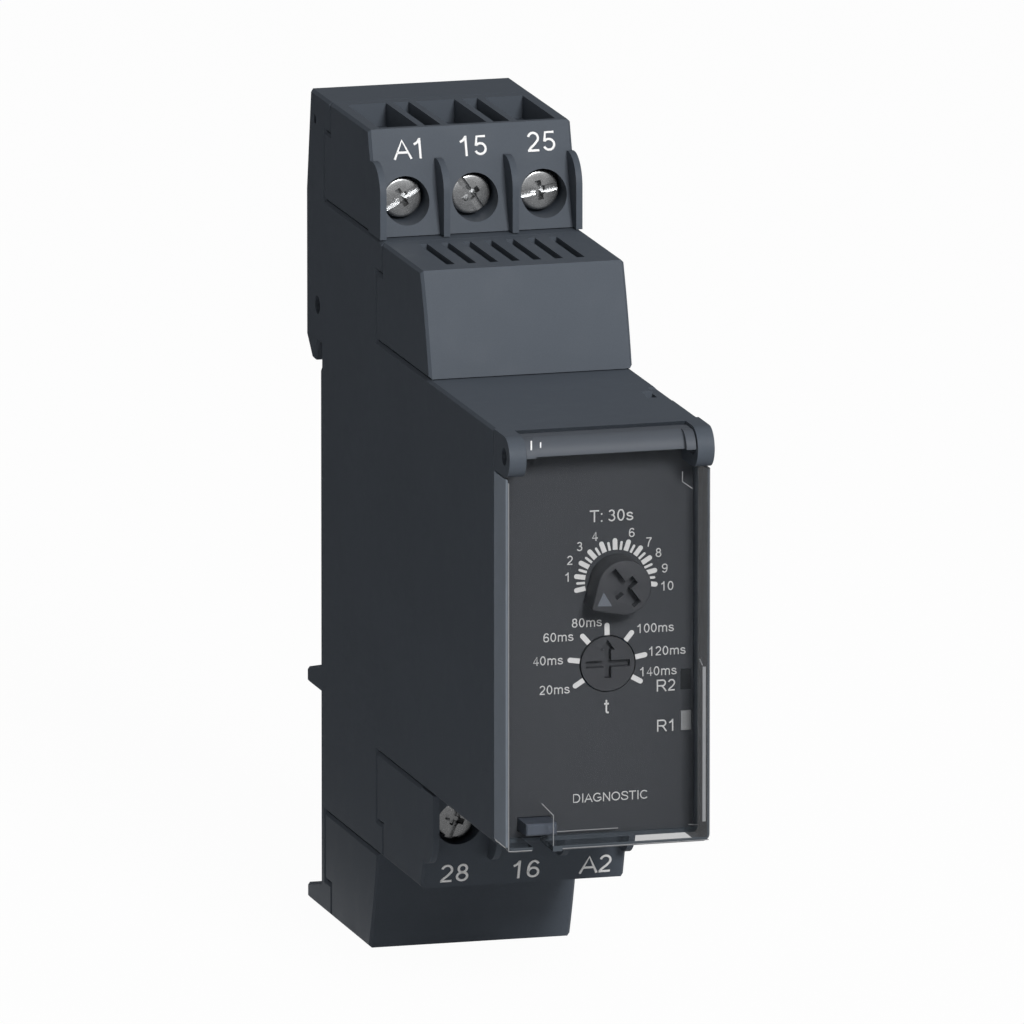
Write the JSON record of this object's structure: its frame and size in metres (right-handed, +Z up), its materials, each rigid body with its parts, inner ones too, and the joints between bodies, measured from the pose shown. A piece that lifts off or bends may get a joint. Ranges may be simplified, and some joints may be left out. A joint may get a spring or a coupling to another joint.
{
  "type": "star-delta timer relay",
  "caption": "Narrow rail-mounted timer relay with stepped ends, screw terminals, a slotted vent cap and two dials behind a clear hinged cover.",
  "frame": {"origin": "centre of the flat rail seat at the back, at mid width and at the rail's middle height", "axes": "+X right seen from the dials, +Y out of the back to the rail, +Z up; the dials face -Y"},
  "size_m": [0.0226, 0.0824, 0.09],
  "materials": {
    "housing_plastic": "fine spark-eroded dark slate plastic",
    "terminal_plastic": "fine spark-eroded dark slate plastic",
    "plate_plastic": "smooth satin dark grey plastic",
    "clear_plastic": "polished clear plastic, faintly smoked",
    "dial_plastic": "satin dark grey plastic",
    "button_plastic": "semi-gloss dark blue-grey plastic",
    "latch_plastic": "satin dark plastic",
    "screw_steel": "zinc-plated steel, bright, with turned rings",
    "cage_steel": "zinc-plated steel",
    "contact_brass": "tin-plated brass strip",
    "spring_steel": "bright spring wire",
    "circuit_board": "green solder mask over glass fibre",
    "relay_case": "black satin case",
    "capacitor_can": "aluminium can in a shrunk dark sleeve",
    "film_case": "yellow box",
    "varistor_coat": "blue dipped coat",
    "inductor_core": "ferrite drum with copper winding",
    "black_moulding": "black moulding",
    "plunger_plastic": "pale plastic",
    "pot_case": "blue moulded case",
    "lamp_lens": "clear lens",
    "light_guide": "frosted clear plastic"
  },
  "bodies": {
    "housing": {"body_shell": "housing_plastic", "vent_cap": "housing_plastic", "lower_blank_cap": "housing_plastic", "upper_terminal_block": "terminal_plastic", "lower_terminal_block": "terminal_plastic", "front_plate": "plate_plastic", "contact_bar_1": "contact_brass", "contact_bar_2": "contact_brass", "contact_bar_3": "contact_brass", "contact_bar_4": "contact_brass", "contact_bar_5": "contact_brass", "contact_bar_6": "contact_brass", "latch_spring": "spring_steel", "main_board": "circuit_board", "front_board": "circuit_board", "relay_1": "relay_case", "relay_2": "relay_case", "power_capacitor": "capacitor_can", "timing_capacitor": "capacitor_can", "film_capacitor": "film_case", "varistor": "varistor_coat", "inductor": "inductor_core", "pin_header": "black_moulding", "controller_chip": "black_moulding", "push_switch": "black_moulding", "time_potentiometer": "pot_case", "selector_switch": "pot_case", "lamp_1": "lamp_lens", "lamp_2": "lamp_lens", "light_guide_1": "light_guide", "light_guide_2": "light_guide"},
    "cover": {"clear_cover": "clear_plastic"},
    "time_dial": {"time_knob": "dial_plastic"},
    "selector_dial": {"selector_knob": "dial_plastic"},
    "button": {"test_button": "button_plastic", "switch_plunger": "plunger_plastic"},
    "latch": {"rail_latch": "latch_plastic"},
    "screw_1": {"terminal_screw_1": "screw_steel"},
    "cage_1": {"clamp_cage_1": "cage_steel"},
    "screw_2": {"terminal_screw_2": "screw_steel"},
    "cage_2": {"clamp_cage_2": "cage_steel"},
    "screw_3": {"terminal_screw_3": "screw_steel"},
    "cage_3": {"clamp_cage_3": "cage_steel"},
    "screw_4": {"terminal_screw_4": "screw_steel"},
    "cage_4": {"clamp_cage_4": "cage_steel"},
    "screw_5": {"terminal_screw_5": "screw_steel"},
    "cage_5": {"clamp_cage_5": "cage_steel"},
    "screw_6": {"terminal_screw_6": "screw_steel"},
    "cage_6": {"clamp_cage_6": "cage_steel"}
  },
  "joints": [
    {"name": "cover_hinge", "type": "hinge", "parent": "housing", "child": "cover", "pos_m": [0, -0.0745, 0.0203], "axis": [-1, 0, 0], "range_deg": [0, 130]},
    {"name": "time_dial_turn", "type": "hinge", "parent": "housing", "child": "time_dial", "pos_m": [0.00215, -0.0704, 0.00525], "axis": [0, 1, 0], "range_deg": [0, 240]},
    {"name": "selector_dial_turn", "type": "hinge", "parent": "housing", "child": "selector_dial", "pos_m": [0.00125, -0.0704, -0.00365], "axis": [0, 1, 0], "range_deg": [-117, 117]},
    {"name": "button_push", "type": "slide", "parent": "housing", "child": "button", "axis": [0, 1, 0], "range_m": [0, 0.0008], "stiffness_N_per_m": 1200, "springref_m": -0.0006},
    {"name": "latch_pull", "type": "slide", "parent": "housing", "child": "latch", "axis": [0, 0, -1], "range_m": [0, 0.003], "stiffness_N_per_m": 1500, "springref_m": -0.002, "deforming": ["latch_spring"]},
    {"name": "screw_turn_1", "type": "hinge", "parent": "housing", "child": "screw_1", "pos_m": [-0.00765, -0.018, 0.0375], "axis": [0, 1, 0], "range_deg": [0, 2520.1]},
    {"name": "cage_lift_1", "type": "slide", "parent": "housing", "child": "cage_1", "axis": [0, -1, 0], "range_m": [0, 0.0035]},
    {"name": "screw_turn_2", "type": "hinge", "parent": "housing", "child": "screw_2", "pos_m": [0, -0.018, 0.0375], "axis": [0, 1, 0], "range_deg": [0, 2520.1]},
    {"name": "cage_lift_2", "type": "slide", "parent": "housing", "child": "cage_2", "axis": [0, -1, 0], "range_m": [0, 0.0035]},
    {"name": "screw_turn_3", "type": "hinge", "parent": "housing", "child": "screw_3", "pos_m": [0.00765, -0.018, 0.0375], "axis": [0, 1, 0], "range_deg": [0, 2520.1]},
    {"name": "cage_lift_3", "type": "slide", "parent": "housing", "child": "cage_3", "axis": [0, -1, 0], "range_m": [0, 0.0035]},
    {"name": "screw_turn_4", "type": "hinge", "parent": "housing", "child": "screw_4", "pos_m": [-0.00765, -0.0393, -0.02625], "axis": [0, 1, 0], "range_deg": [0, 2520.1]},
    {"name": "cage_lift_4", "type": "slide", "parent": "housing", "child": "cage_4", "axis": [0, -1, 0], "range_m": [0, 0.0035]},
    {"name": "screw_turn_5", "type": "hinge", "parent": "housing", "child": "screw_5", "pos_m": [0, -0.0393, -0.02625], "axis": [0, 1, 0], "range_deg": [0, 2520.1]},
    {"name": "cage_lift_5", "type": "slide", "parent": "housing", "child": "cage_5", "axis": [0, -1, 0], "range_m": [0, 0.0035]},
    {"name": "screw_turn_6", "type": "hinge", "parent": "housing", "child": "screw_6", "pos_m": [0.00765, -0.0393, -0.02625], "axis": [0, 1, 0], "range_deg": [0, 2520.1]},
    {"name": "cage_lift_6", "type": "slide", "parent": "housing", "child": "cage_6", "axis": [0, -1, 0], "range_m": [0, 0.0035]}
  ],
  "couplings": [
    {"joint": "screw_turn_1", "follows": "cage_lift_1", "rad_per_m": 12566},
    {"joint": "screw_turn_2", "follows": "cage_lift_2", "rad_per_m": 12566},
    {"joint": "screw_turn_3", "follows": "cage_lift_3", "rad_per_m": 12566},
    {"joint": "screw_turn_4", "follows": "cage_lift_4", "rad_per_m": 12566},
    {"joint": "screw_turn_5", "follows": "cage_lift_5", "rad_per_m": 12566},
    {"joint": "screw_turn_6", "follows": "cage_lift_6", "rad_per_m": 12566}
  ]
}
